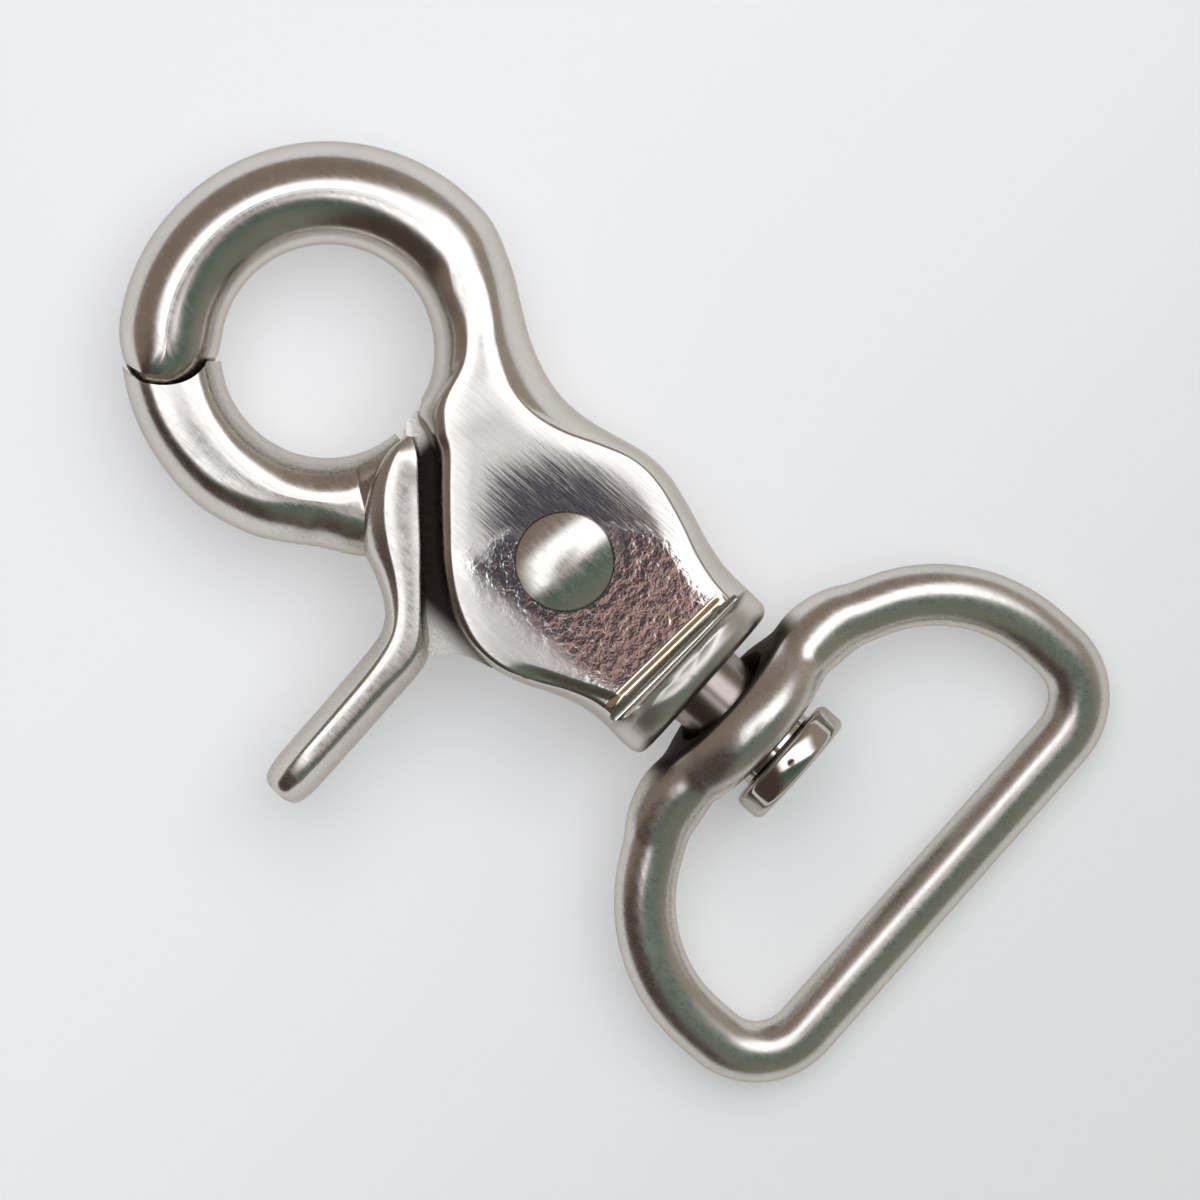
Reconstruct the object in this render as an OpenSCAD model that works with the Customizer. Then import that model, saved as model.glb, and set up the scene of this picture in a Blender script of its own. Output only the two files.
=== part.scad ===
// Swivel snap hook with a sprung lever and a strap ring.
// The pivot rivet is the origin of the outlines below. +X runs along the
// swivel pin towards the strap ring and +Z is up, out of the flat cheeks.
// in_place() then sets the hook down on Z = 0, centred on its own footprint.

/* [Eye] */
// Distance from the rivet to the centre of the eye
eye_reach = 18.15; // [18.05:0.05:18.25]
// Radius of the round eye
eye_r = 6.1; // [5.9:0.05:6.2]
// Width of the hook bar in plan
bar_w = 5.9; // [5.7:0.1:6.0]
// Depth of the hook bar at its nose
nose_depth = 6.1; // [5.8:0.1:6.2]
// Depth of the hook bar at the crown of the eye
crown_depth = 7.0; // [6.4:0.1:7.4]

/* [Cheeks] */
// Thickness across the two flat cheeks
cheek_t = 8.7; // [8.5:0.1:8.9]
// Width of the slot that the lever swings in
slot_w = 3.6; // [3.5:0.05:3.7]
// Depth of the round collar that holds the swivel pin
collar_depth = 7.9; // [7.6:0.1:8.1]

/* [Pivot rivet] */
// Diameter of the rivet shank
rivet_d = 3; // [2.9:0.05:3.1]
// Diameter of the domed rivet heads
rivet_head_d = 5.7; // [5.4:0.1:5.9]
// Height that a rivet head stands proud of its cheek
rivet_rise = 0.85; // [0.8:0.05:0.95]

/* [Lever] */
// Thickness of the web that turns inside the slot
web_t = 3.3; // [3.2:0.05:3.4]
// Depth of the lower jaw
jaw_depth = 6.6; // [6.2:0.1:7.0]
// Depth of the band and of the thumb trigger
band_depth = 8.2; // [7.8:0.1:8.4]
// Distance from the rivet to the end of the thumb trigger
trigger_drop = 20.7; // [20.2:0.1:21.2]
// Angle that the lever turns through before its heel stops it
open_angle = 28; // [24:1:28]

/* [Spring] */
// Diameter of the spring wire
spring_wire = 0.52; // [0.46:0.02:0.52]
// Mean radius of the spring coil
spring_r = 2.55; // [2.4:0.05:2.6]

/* [Swivel pin] */
// Diameter of the swivel pin
pin_d = 5.05; // [5.0:0.05:5.1]
// Diameter of the pin head inside the strap ring
pin_head_d = 7.4; // [7.2:0.1:7.4]
// Radial running clearance of every pin and rivet in its bore
running_fit = 0.05; // [0.03:0.01:0.08]

/* [Strap ring] */
// Diameter of the ring wire
wire_d = 3.56; // [3.4:0.02:3.6]
// Clear length of the straight bar that the strap wraps round
strap_w = 26.14; // [26.0:0.02:26.4]
// Distance from the swivel boss to the middle of the strap bar
bar_reach = 15.1; // [15.0:0.05:15.2]

/* [Hidden] */
$fn = 64;

satin_nickel = [0.78, 0.76, 0.72];
bright_nickel = [0.86, 0.84, 0.80];
dark_steel = [0.42, 0.40, 0.39];
spring_steel = [0.55, 0.56, 0.58];

flank_steps = 5;            // points up each rounded flank of a lofted section
rest_h = cheek_t / 2 + rivet_rise;      // height of the mid-plane above the table
collar_end = 10.62;         // end face of the collar
boss_x = 13.45;             // centre of the ring boss on the swivel pin
boss_half_t = 1.75;
ring_shift = 0.2;           // the ring lies to one side in the play of its bore
pin_head_x = 16.3;          // inner face of the pin head
pin_head_t = 1.8;
wire_r = wire_d / 2;
ring_half = strap_w / 2 + wire_d / 2;   // bar axis to bar axis, halved
droop = asin((rest_h - wire_r) / bar_reach);  // the strap bar rests on the table

hook_end = -(eye_reach + eye_r + bar_w);
ring_end = boss_x + bar_reach * cos(droop) + wire_r;
mid_x = (hook_end + ring_end) / 2;
mid_y = (ring_shift + ring_half + wire_r - trigger_drop) / 2;

// ---------------------------------------------------------------- lofting

function unit(v) = v / norm(v);

// A station of a lofted bar: outer point, inner point, half depth, width of
// the outer and the inner flank, and how far round the flanks turn (90 is a
// full quarter ellipse, less leaves a crisp edge against the flat top).
function station(outer, inner, half, fo, fi, turn) =
    [outer.x, outer.y, inner.x, inner.y, half, fo, fi, turn];

function flank_in(turn, k) = (1 - cos(turn * k)) / (1 - cos(turn));
function flank_up(turn, k) = sin(turn * k) / sin(turn);

// One closed cross-section, upright on the line from outer to inner point.
function section(s) =
    let (
        a = [s[0], s[1]],
        b = [s[2], s[3]],
        u = unit(b - a),
        n = flank_steps
    )
    concat(
        [for (k = [0:n]) let (p = a + u * s[5] * flank_in(s[7], k / n))
            [p.x, p.y, s[4] * flank_up(s[7], k / n)]],
        [for (k = [n:-1:0]) let (p = b - u * s[6] * flank_in(s[7], k / n))
            [p.x, p.y, s[4] * flank_up(s[7], k / n)]],
        [for (k = [1:n]) let (p = b - u * s[6] * flank_in(s[7], k / n))
            [p.x, p.y, -s[4] * flank_up(s[7], k / n)]],
        [for (k = [n:-1:1]) let (p = a + u * s[5] * flank_in(s[7], k / n))
            [p.x, p.y, -s[4] * flank_up(s[7], k / n)]]
    );

// A smooth curve through stations, with `steps` sections in each span.
function spline(p, steps) = [
    for (i = [0:len(p) - 2], j = [0:steps - 1])
        let (
            t = j / steps,
            p0 = p[max(i - 1, 0)], p1 = p[i], p2 = p[i + 1],
            p3 = p[min(i + 2, len(p) - 1)]
        )
        0.5 * (2 * p1 + (p2 - p0) * t + (2 * p0 - 5 * p1 + 4 * p2 - p3) * t * t
            + (3 * p1 - p0 - 3 * p2 + p3) * t * t * t),
    p[len(p) - 1]
];

// Closed skin over a list of rings that all have the same number of points.
module skin(rings) {
    m = len(rings[0]);
    last = len(rings) - 1;
    polyhedron(
        points = [for (r = rings) for (p = r) p],
        faces = concat(
            [[for (k = [0:m - 1]) k]],
            [for (i = [0:last - 1], k = [0:m - 1])
                let (a = i * m + k, b = i * m + (k + 1) % m)
                each [[a, a + m, b], [b, a + m, b + m]]],
            [[for (k = [m - 1:-1:0]) last * m + k]]
        )
    );
}

// ---------------------------------------------------------------- hook body

eye = [-eye_reach, 0];
function eye_point(angle, radius) = eye + radius * [cos(angle), sin(angle)];

nose_angle = 214;           // where the round nose begins
nose_turn = 18.7;           // how much further round the eye its tip reaches
crown_angle = 82;           // where the bar leaves its circle for the neck
bar_mid = eye_r + bar_w / 2;
full = 0.48 * bar_w;        // flanks that nearly meet make a round bar

function bar_station(angle, k, half) = station(
    eye_point(angle, bar_mid + k * bar_w / 2),
    eye_point(angle, bar_mid - k * bar_w / 2), half, full * k, full * k, 90);

function crown_half(angle) =
    (nose_depth + (crown_depth - nose_depth) * (nose_angle - angle) / (nose_angle - crown_angle)) / 2;

nose_blunt = 0.55;          // below 1 the nose stays full to its tip
nose_sections = [for (a = [86, 72, 56, 38, 19])
    section(bar_station(nose_angle + nose_turn * sin(a), cos(a), nose_depth / 2 * pow(cos(a), nose_blunt)))];

bar_sections = [for (a = [nose_angle:-8.25:crown_angle + 1])
    section(bar_station(a, 1, crown_half(a)))];

ch = cheek_t / 2;
neck_and_cheek = spline([
    bar_station(crown_angle, 1, crown_half(crown_angle)),
    station([-13.6, 10.65], eye_point(65, eye_r), 0.46 * crown_depth + 0.09 * cheek_t, 2.3, 2.1, 84),
    station([-11.8, 9.45], eye_point(46, eye_r), 0.955 * ch, 2.0, 2.1, 76),
    station([-10.1, 8.3], eye_point(26, eye_r), 0.975 * ch, 2.1, 2.1, 70),
    station([-8.6, 7.55], [-12.0, 0.65], 0.99 * ch, 2.2, 2.0, 66),
    station([-7.2, 7.08], [-10.5, 0.25], ch, 2.25, 1.1, 63),
    station([-5.9, 6.9], [-9.3, -0.4], ch, 2.15, 0.8, 62),
    station([-4.4, 6.97], [-7.9, -1.9], ch, 1.75, 0.75, 62),
    station([-2.8, 7.28], [-6.3, -3.6], ch, 1.25, 0.75, 62),
    station([-1.3, 7.62], [-4.7, -5.15], ch, 1.0, 0.7, 62),
    station([0, 7.75], [-2.85, -6.42], ch, 0.92, 0.6, 62),
    station([1.3, 7.63], [-0.9, -7.15], ch, 0.92, 0.5, 62),
    station([2.6, 7.27], [1.1, -7.25], ch, 0.95, 0.5, 62),
    station([4.0, 6.78], [3.0, -6.75], ch, 1.0, 0.6, 62),
    station([5.5, 6.24], [4.8, -5.95], ch, 1.1, 0.7, 62),
    station([6.8, 5.9], [6.2, -5.53], ch, 1.2, 0.8, 62),
    station([8.0, 5.78], [7.2, -5.42], ch, 1.3, 0.85, 62)
], 2);

collar_half = collar_depth / 2;
// The rounded end of the flat cheek, the step behind it, and the round collar.
collar_stations = [
    station([8.15, 5.77], [7.38, -5.42], 0.975 * ch, 1.4, 0.95, 62),
    station([8.25, 5.75], [7.55, -5.42], 0.92 * ch, 1.6, 1.15, 64),
    station([8.37, 5.74], [8.0, -5.44], 0.95 * collar_half, 4.4, 4.2, 85),
    station([8.8, 5.72], [8.7, -5.48], 0.985 * collar_half, 5.3, 5.3, 90),
    station([9.4, 5.72], [9.4, -5.52], collar_half, 5.35, 5.35, 90),
    station([10.1, 5.68], [10.1, -5.52], 0.99 * collar_half, 5.3, 5.3, 90),
    station([10.45, 5.45], [10.45, -5.3], 0.95 * collar_half, 5.1, 5.1, 90),
    station([collar_end, 5.05], [collar_end, -4.9], 0.88 * collar_half, 4.7, 4.7, 90)
];

hub_r = 4.3;                // round hub of the lever's web
heel_r = 7.35;              // outer radius of the web below the hub
heel_angle = 277;           // edge of the web that meets the body at full opening
slot_gap = 0.35;            // room round the web inside the slot
slot_roof = 1.4;            // top of the slot under the neck

// Plan of the slot: open towards the lever, closed over the hub and at the heel stop.
module slot_plan() {
    circle(r = hub_r + slot_gap);
    stop = heel_angle + open_angle + 0.6;
    polygon([
        [0, 0],
        16 * [cos(stop), sin(stop)],
        [9.2, -24],
        [-26, -24],
        [-26, slot_roof - 1.2],
        [-13, slot_roof - 1.2],
        [-12.6, slot_roof],
        [-9, slot_roof],
        hub_r * [cos(118), sin(118)]
    ]);
}

anchor_x = 6.2;             // inner face of the chamber that keeps the pin in
anchor_end = 7.9;
anchor_r = 3.15;

module hook_body() {
    color(satin_nickel) difference() {
        skin(concat(nose_sections, bar_sections, [for (s = neck_and_cheek) section(s)],
            [for (s = collar_stations) section(s)]));
        translate([0, 0, -slot_w / 2])
            linear_extrude(height = slot_w) intersection() {
                slot_plan();
                translate([-12.9, -9]) square([24, 18]);
            }
        cylinder(d = rivet_d, h = cheek_t + 2, center = true);
        spring_notch();
        rotate([0, 90, 0]) {
            translate([0, 0, anchor_x - running_fit])
                cylinder(r = anchor_r + running_fit, h = anchor_end - anchor_x + 2 * running_fit);
            translate([0, 0, anchor_end])
                cylinder(d = pin_d + 2 * running_fit, h = collar_end);
        }
    }
}

// ---------------------------------------------------------------- lever

seat_gap = 0.16;            // room between the nose and its round seat in the jaw
nose_seat = eye_point(nose_angle, bar_mid);
jaw_r = eye_r + 5.35;       // outer radius of the jaw about the eye

function jaw_station(angle, outer, half, flank) =
    station(eye_point(angle, outer), eye_point(angle, eye_r), half, flank, flank, 80);

jaw_sections = [for (s = spline([
    jaw_station(351, jaw_r - 2.1, 0.22 * jaw_depth, 1.0),
    jaw_station(343, jaw_r - 0.9, 0.27 * jaw_depth, 1.4),
    jaw_station(335, jaw_r + 0.1, 0.33 * jaw_depth, 1.6),
    jaw_station(329.5, jaw_r + 0.8, 0.41 * jaw_depth, 1.9),
    jaw_station(325, jaw_r + 0.65, 0.467 * jaw_depth, 2.1),
    jaw_station(318, jaw_r + 0.25, 0.475 * jaw_depth, 2.25),
    jaw_station(309, jaw_r - 0.26, 0.485 * jaw_depth, 2.25),
    jaw_station(300, jaw_r - 0.28, 0.495 * jaw_depth, 2.2),
    jaw_station(288, jaw_r - 0.1, 0.5 * jaw_depth, 2.0),
    jaw_station(270, jaw_r + 0.05, 0.5 * jaw_depth, 1.75),
    jaw_station(250, jaw_r + 0.1, 0.5 * jaw_depth, 1.55),
    jaw_station(232, jaw_r + 0.25, 0.48 * jaw_depth, 1.5),
    jaw_station(216, jaw_r + 0.4, 0.46 * jaw_depth, 1.5),
    jaw_station(206, jaw_r + 0.5, 0.45 * jaw_depth, 1.5)
], 2)) section(s)];

bh = band_depth / 2;
// From the tip beside the eye, down the band and out along the thumb trigger.
band_sections = [for (s = concat(spline([
    station([-11.05, -0.33], [-11.6, -0.75], 0.9 * bh, 0.15, 0.2, 76),
    station([-10.05, -1.05], [-11.72, -2.0], bh, 0.15, 0.6, 66),
    station([-8.87, -2.3], [-11.42, -3.9], bh, 0.15, 1.05, 62),
    station([-7.67, -3.55], [-10.55, -5.75], bh, 0.15, 1.5, 60),
    station([-6.5, -4.77], [-9.2, -7.05], bh, 0.15, 1.7, 60),
    station([-5.3, -6.05], [-7.7, -7.72], bh, 0.2, 1.35, 60),
    station([-3.9, -7.4], [-6.35, -8.48], bh, 0.35, 1.0, 60),
    station([-2.6, -8.65], [-5.5, -9.35], bh, 0.65, 0.85, 60),
    station([-2.05, -10.0], [-5.12, -10.4], bh, 0.8, 0.85, 60),
    station([-2.0, -12.4], [-5.0, -12.6], bh, 0.9, 0.95, 60),
    station([-2.0, -trigger_drop + 3], [-4.95, -trigger_drop + 3], bh, 0.9, 0.95, 62)
], 2), [
    station([-2.02, -trigger_drop + 1.5], [-4.92, -trigger_drop + 1.5], 0.97 * bh, 0.95, 1.0, 66),
    station([-2.15, -trigger_drop + 0.6], [-4.8, -trigger_drop + 0.6], 0.88 * bh, 1.0, 1.0, 72),
    station([-2.4, -trigger_drop + 0.15], [-4.55, -trigger_drop + 0.15], 0.78 * bh, 0.9, 0.9, 80),
    station([-2.65, -trigger_drop], [-4.3, -trigger_drop], 0.68 * bh, 0.7, 0.7, 84)
])) section(s)];

// Plan of the thin web between the band and the rivet.
module web_plan() {
    circle(r = hub_r);
    polygon([
        eye_point(8, eye_r + 0.05),
        [-9, 1.0],
        (hub_r - 0.5) * [cos(120), sin(120)],
        [0, 0],
        heel_r * [cos(heel_angle), sin(heel_angle)],
        [-0.35, -7.62],
        [-1.1, -7.97],
        [-1.6, -8.4],
        [-2.15, -9.0],
        [-3.6, -9.4],
        [-9.2, -4.7],
        [-10.9, -1.6],
        eye_point(-3, eye_r + 0.05)
    ]);
}

pocket_floor = -0.97;       // top of the thin floor under the spring
pocket_r = 3.2;

// Room for the coil, for its fixed leg through the whole swing, and for its moving leg.
module spring_pocket() {
    translate([0, 0, pocket_floor]) {
        cylinder(r = pocket_r, h = web_t);
        linear_extrude(height = web_t) polygon([
            [0, 0], 7 * [cos(30), sin(30)], 8 * [cos(70), sin(70)], 7 * [cos(112), sin(112)]
        ]);
    }
    leg = leg_points(coil_start, -1);
    translate([leg[0].x, leg[0].y, pocket_floor])
        rotate([0, 0, coil_start - 90])
            translate([0, -spring_wire * 0.7]) cube([leg_len + 0.15, spring_wire * 1.4, web_t]);
}

module lever() {
    color(satin_nickel) difference() {
        union() {
            skin(jaw_sections);
            skin(band_sections);
            translate([0, 0, -web_t / 2]) linear_extrude(height = web_t) web_plan();
        }
        translate([nose_seat.x, nose_seat.y, 0]) {
            cylinder(r = bar_w / 2 + seat_gap, h = 2 * jaw_depth, center = true);
            rotate([0, 0, nose_angle + 90]) translate([-12, -6, -jaw_depth])
                cube([12, 12, 2 * jaw_depth]);
        }
        cylinder(r = rivet_d / 2 + running_fit, h = 2 * web_t, center = true);
        spring_pocket();
    }
}

// ---------------------------------------------------------------- pivot rivet

module rivet_head() {
    skirt = 0.15;
    rise = rivet_rise - skirt;
    dome_r = (pow(rivet_head_d / 2, 2) + rise * rise) / (2 * rise);
    cylinder(d = rivet_head_d, h = skirt);
    translate([0, 0, skirt]) intersection() {
        translate([0, 0, rise - dome_r]) sphere(r = dome_r, $fn = 96);
        cylinder(d = rivet_head_d, h = rise);
    }
}

module pivot_rivet() {
    color(satin_nickel) {
        cylinder(d = rivet_d, h = cheek_t, center = true);
        for (side = [0, 1])
            mirror([0, 0, side]) translate([0, 0, cheek_t / 2]) rivet_head();
    }
}

// ---------------------------------------------------------------- lever spring

coil_turns = 3.5;
coil_pitch = spring_wire + 0.04;
coil_bottom = pocket_floor + spring_wire / 2 + 0.03;
coil_end = 50;              // angle where the fixed leg leaves the coil
coil_start = coil_end - 360 * coil_turns;
leg_len = 2.4;
fixed_leg_len = 3.7;
spring_sides = 8;
turn_steps = 16;

function on_coil(angle) = [spring_r * cos(angle), spring_r * sin(angle),
    coil_bottom + coil_pitch * (angle - coil_start) / 360];

// Root and tip of a straight leg that leaves the coil along its tangent.
function leg_points(angle, way, length = leg_len) =
    [on_coil(angle), on_coil(angle) + way * length * [-sin(angle), cos(angle), 0]];

function wire_ring(centre, angle) = [for (k = [0:spring_sides - 1])
    let (a = 360 * k / spring_sides, r = spring_wire / 2)
    centre + [r * cos(a) * cos(angle), r * cos(a) * sin(angle), r * sin(a)]];

module lever_spring() {
    steps = coil_turns * turn_steps;
    color(spring_steel) skin(concat(
        [wire_ring(leg_points(coil_start, -1)[1], coil_start)],
        [for (i = [0:steps]) let (a = coil_start + 360 * i / turn_steps)
            wire_ring(on_coil(a), a)],
        [wire_ring(leg_points(coil_end, 1, fixed_leg_len)[1], coil_end)]
    ));
}

// Socket in the body for the end of the spring's fixed leg.
module spring_notch() {
    tip = leg_points(coil_end, 1, fixed_leg_len)[1];
    translate([tip.x, tip.y, -slot_w / 2])
        cylinder(d = 2.2 * spring_wire, h = slot_w, $fn = 24);
}

// ---------------------------------------------------------------- swivel pin

module swivel_pin() {
    head_round = 0.45;
    head_r = pin_head_d / 2;
    head_end = pin_head_x + pin_head_t;
    color(dark_steel) rotate([0, 90, 0]) rotate_extrude() polygon(concat(
        [[0, anchor_x], [anchor_r, anchor_x], [anchor_r, anchor_end], [pin_d / 2, anchor_end]],
        [[pin_d / 2, pin_head_x]],
        [for (a = [-90:30:0]) [head_r - head_round + head_round * cos(a),
            pin_head_x + head_round + head_round * sin(a)]],
        [for (a = [0:30:90]) [head_r - head_round + head_round * cos(a),
            head_end - head_round + head_round * sin(a)]],
        [[0, head_end]]
    ));
}

// ---------------------------------------------------------------- strap ring

boss_half_w = 6.8;          // half width of the oval boss
boss_half_h = 4.5;          // half height of the oval boss
boss_round = 0.6;
corner_r = 3.7;             // bends at the two ends of the strap bar, to the wire axis
shoulder_r = 9.6;           // long bends between the boss and the strap bar
shoulder_x = shoulder_r + 0.45;
wire_sides = 24;

// Half outline of a disc with rounded rims, to be turned or drawn out.
module rim_profile() {
    inner_t = boss_half_t - boss_round;
    translate([0, -boss_half_t]) square([boss_half_h - boss_round, 2 * boss_half_t]);
    translate([0, -inner_t]) square([boss_half_h, 2 * inner_t]);
    for (side = [-1, 1])
        translate([boss_half_h - boss_round, side * inner_t]) circle(r = boss_round, $fn = 32);
}

// One half of the boss: a rounded end and the straight stretch up to the middle.
module half_boss() {
    reach = boss_half_w - boss_half_h;
    translate([0, reach, 0])
        rotate([0, 90, 0]) rotate_extrude() intersection() {
            rim_profile();
            translate([0, -boss_half_t]) square([boss_half_h, 2 * boss_half_t]);
        }
    for (side = [0, 1])
        mirror([0, 0, side])
            translate([0, reach, 0]) rotate([90, -90, 0])
                linear_extrude(height = reach) rim_profile();
}

function arc(centre, radius, from, to, step) = [for (a = [from:step:to])
    [centre.x + radius * cos(a), centre.y + radius * sin(a), wire_r, wire_r]];

// Axis of the wire, half its width and half its depth, from the boss to the strap bar.
half_loop = concat(
    [[0, boss_half_w - 3.1, 1.45, 2.8], [0.03, boss_half_w - 2.2, 1.85, 3.0]],
    [[0.08, boss_half_w - 1.4, 2.22, 2.95], [0.13, boss_half_w - 0.75, 2.32, 2.65]],
    [[0.2, boss_half_w, 2.18, 2.32], [0.52, boss_half_w + 1, 1.95, 2.0]],
    [[1.03, boss_half_w + 1.9, 1.82, 1.82]],
    arc([shoulder_x, ring_half - shoulder_r], shoulder_r, 153, 90, -9),
    arc([bar_reach - corner_r, ring_half - corner_r], corner_r, 90, 0, -10)
);
loop_path = concat(half_loop, [[bar_reach, 0, wire_r, wire_r]],
    [for (i = [len(half_loop) - 1:-1:0]) let (p = half_loop[i]) [p.x, -p.y, p.z, p[3]]]);

module wire_loop() {
    last = len(loop_path) - 1;
    skin([for (i = [0:last]) let (
            here = loop_path[i],
            ahead = loop_path[min(i + 1, last)],
            behind = loop_path[max(i - 1, 0)],
            side = unit([behind.y - ahead.y, ahead.x - behind.x])
        )
        [for (k = [0:wire_sides - 1]) let (a = 360 * k / wire_sides)
            [here.x + here.z * cos(a) * side.x, here.y + here.z * cos(a) * side.y,
                here[3] * sin(a)]]]);
}

module swivel_bore() {
    waist = pin_d / 2 + 0.35;
    mouth = 3.8;
    rotate([0, 90, 0]) rotate_extrude() polygon([
        [0, -3], [mouth + 0.6, -3], [mouth, -boss_half_t], [waist + 0.1, -0.5],
        [waist, -0.25], [waist, 0.25], [waist + 0.1, 0.5], [mouth, boss_half_t],
        [mouth + 0.6, 3], [0, 3]
    ]);
}

module strap_ring() {
    color(satin_nickel) translate([boss_x, ring_shift, 0]) rotate([0, droop, 0]) difference() {
        union() {
            half_boss();
            mirror([0, 1, 0]) half_boss();
            wire_loop();
        }
        swivel_bore();
    }
}

// ---------------------------------------------------------------- assembly

module in_place() {
    translate([-mid_x, -mid_y, rest_h]) children();
}

in_place() hook_body();
in_place() lever();
in_place() pivot_rivet();
in_place() lever_spring();
in_place() swivel_pin();
in_place() strap_ring();
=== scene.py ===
# %% [markdown]
# # Swivel snap hook
# A nickel-plated scissor snap hook for 25 mm strap, lying flat on a pale table
# and seen from straight above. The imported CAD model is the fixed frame: every
# piece below is built again with finer surfaces in the same place, rides on the
# same body, and gets a plated-metal material made from nodes.

# %% Load the frame
import math

import bpy
import bmesh
import numpy as np
from mathutils import Matrix, Vector


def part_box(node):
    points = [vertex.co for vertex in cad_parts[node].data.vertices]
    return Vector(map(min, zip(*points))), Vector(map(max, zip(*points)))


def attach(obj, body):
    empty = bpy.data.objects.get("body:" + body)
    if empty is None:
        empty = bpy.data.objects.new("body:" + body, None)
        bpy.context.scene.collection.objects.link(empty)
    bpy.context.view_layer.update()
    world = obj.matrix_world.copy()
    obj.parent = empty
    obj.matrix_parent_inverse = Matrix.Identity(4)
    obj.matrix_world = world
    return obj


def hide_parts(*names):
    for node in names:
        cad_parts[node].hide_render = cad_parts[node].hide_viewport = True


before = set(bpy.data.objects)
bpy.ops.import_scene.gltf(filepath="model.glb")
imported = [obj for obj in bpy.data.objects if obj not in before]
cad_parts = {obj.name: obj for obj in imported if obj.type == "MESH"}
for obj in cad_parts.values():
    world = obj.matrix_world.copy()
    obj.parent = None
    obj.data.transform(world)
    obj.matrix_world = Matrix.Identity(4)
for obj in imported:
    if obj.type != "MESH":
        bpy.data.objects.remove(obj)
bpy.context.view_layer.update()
MM = 0.001

# %% [markdown]
# ## The working frame
# All outlines are written in millimetres from the rivet, with +X along the
# swivel pin, because that is how such a hook is drawn. `PIVOT` then carries
# them to the frame's own origin, so nothing here is fitted by eye.

# %% Where the rivet is
rivet_low, rivet_high = [Vector(corner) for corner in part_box("pivot_rivet")]
PIVOT = (rivet_low + rivet_high) / 2
TO_FRAME = Matrix.Translation(PIVOT) @ Matrix.Scale(MM, 4)
ring_low, ring_high = [Vector(corner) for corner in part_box("strap_ring")]
pin_low, pin_high = [Vector(corner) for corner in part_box("swivel_pin")]
print("rivet at", [round(v / MM, 3) for v in PIVOT])
print("pin size:", [round(v / MM, 2) for v in pin_high - pin_low])
print("ring size:", [round(v / MM, 2) for v in ring_high - ring_low])

# %% [markdown]
# ## Camera
# Straight above, a long lens, with the swivel pin running down to the right. The
# lens is worked out from how much of the table is to be in view, so the camera
# can be moved up or down and the hook stays as large.

# %% Camera
PIN_TURN = math.radians(41.6)       # how far the pin runs down to the right
FRAME_WIDTH = 68.57 * MM            # of table in view
AIM_RIGHT, AIM_DOWN = 2.0, 2.17     # from the rivet to the middle of the view
CAMERA_HEIGHT, SENSOR = 0.5, 36
RIGHT = Vector((math.cos(PIN_TURN), math.sin(PIN_TURN), 0))
UP = Vector((-math.sin(PIN_TURN), math.cos(PIN_TURN), 0))
look_at = PIVOT + (RIGHT * AIM_RIGHT - UP * AIM_DOWN) * MM
camera_data = bpy.data.cameras.new("camera")
camera_data.sensor_width = SENSOR
camera_data.lens = SENSOR * CAMERA_HEIGHT / FRAME_WIDTH
camera_data.clip_start = 0.01
camera = bpy.data.objects.new("camera", camera_data)
bpy.context.scene.collection.objects.link(camera)
looking_down = Matrix(((RIGHT.x, UP.x, 0, 0), (RIGHT.y, UP.y, 0, 0), (0, 0, 1, 0), (0, 0, 0, 1)))
camera.matrix_world = Matrix.Translation(look_at + Vector((0, 0, CAMERA_HEIGHT))) @ looking_down
bpy.context.scene.camera = camera
bpy.context.scene.view_settings.view_transform = "Standard"
print("lens:", round(camera_data.lens, 1), "mm")

# %% [markdown]
# ## Mesh tools
# Castings and turned parts are easiest to keep exact as meshes made from their
# own points. Every mesh is merged and its faces turned outwards as soon as it is
# made, because the booleans that cut slots and bores need closed skins.

# %% Meshes from points
MERGE = 1e-7        # metres within which two points are one
SHADE_MERGE = 2e-7


def link(obj):
    bpy.context.scene.collection.objects.link(obj)
    return obj


def edit(mesh, change):
    """Runs `change` on the mesh's editable form, and writes it back."""
    bm = bmesh.new()
    bm.from_mesh(mesh)
    change(bm)
    bm.to_mesh(mesh)
    bm.free()


def merge(bm, distance=MERGE):
    bmesh.ops.remove_doubles(bm, verts=bm.verts, dist=distance)
    bmesh.ops.recalc_face_normals(bm, faces=bm.faces)


def mesh_object(name, points, faces, place=TO_FRAME):
    mesh = bpy.data.meshes.new(name)
    mesh.from_pydata([tuple(place @ Vector(p)) for p in points], [], faces)
    edit(mesh, merge)
    return link(bpy.data.objects.new(name, mesh))


def skin(name, rings, place=TO_FRAME):
    """Joins closed sections with quads, and closes both ends."""
    count = len(rings[0])
    points = [p for ring in rings for p in ring]
    faces = []
    for i in range(len(rings) - 1):
        for k in range(count):
            n = (k + 1) % count
            faces.append((i * count + k, i * count + n, (i + 1) * count + n, (i + 1) * count + k))
    faces.append(tuple(range(count)))
    faces.append(tuple((len(rings) - 1) * count + k for k in reversed(range(count))))
    return mesh_object(name, points, faces, place)


def prism(name, outline, low, high):
    count = len(outline)
    points = [(*p, low) for p in outline] + [(*p, high) for p in outline]
    faces = [tuple(reversed(range(count))), tuple(range(count, 2 * count))]
    faces += [(k, (k + 1) % count, count + (k + 1) % count, count + k) for k in range(count)]
    return mesh_object(name, points, faces)


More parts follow.
